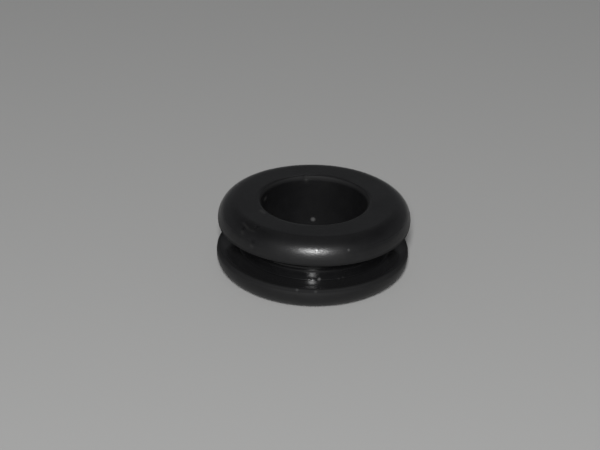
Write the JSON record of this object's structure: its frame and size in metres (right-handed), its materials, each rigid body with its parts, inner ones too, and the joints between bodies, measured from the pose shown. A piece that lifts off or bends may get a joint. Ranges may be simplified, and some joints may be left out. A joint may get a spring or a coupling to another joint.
{
  "type": "rubber grommet",
  "caption": "Black moulded rubber ring with rounded flanges either side of a square groove and a plain bore; it lines and seals a panel hole round a cable or tube.",
  "frame": {"origin": "centre of the lower face, on the axis of the bore", "axes": "+Z along the bore, from the lower face to the upper one; X and Y are free, because the ring is a body of revolution"},
  "size_m": [0.018, 0.018, 0.007],
  "materials": {
    "rubber": "matte moulded, slightly worn"
  },
  "bodies": {
    "root": {"grommet": "rubber"}
  },
  "joints": []
}
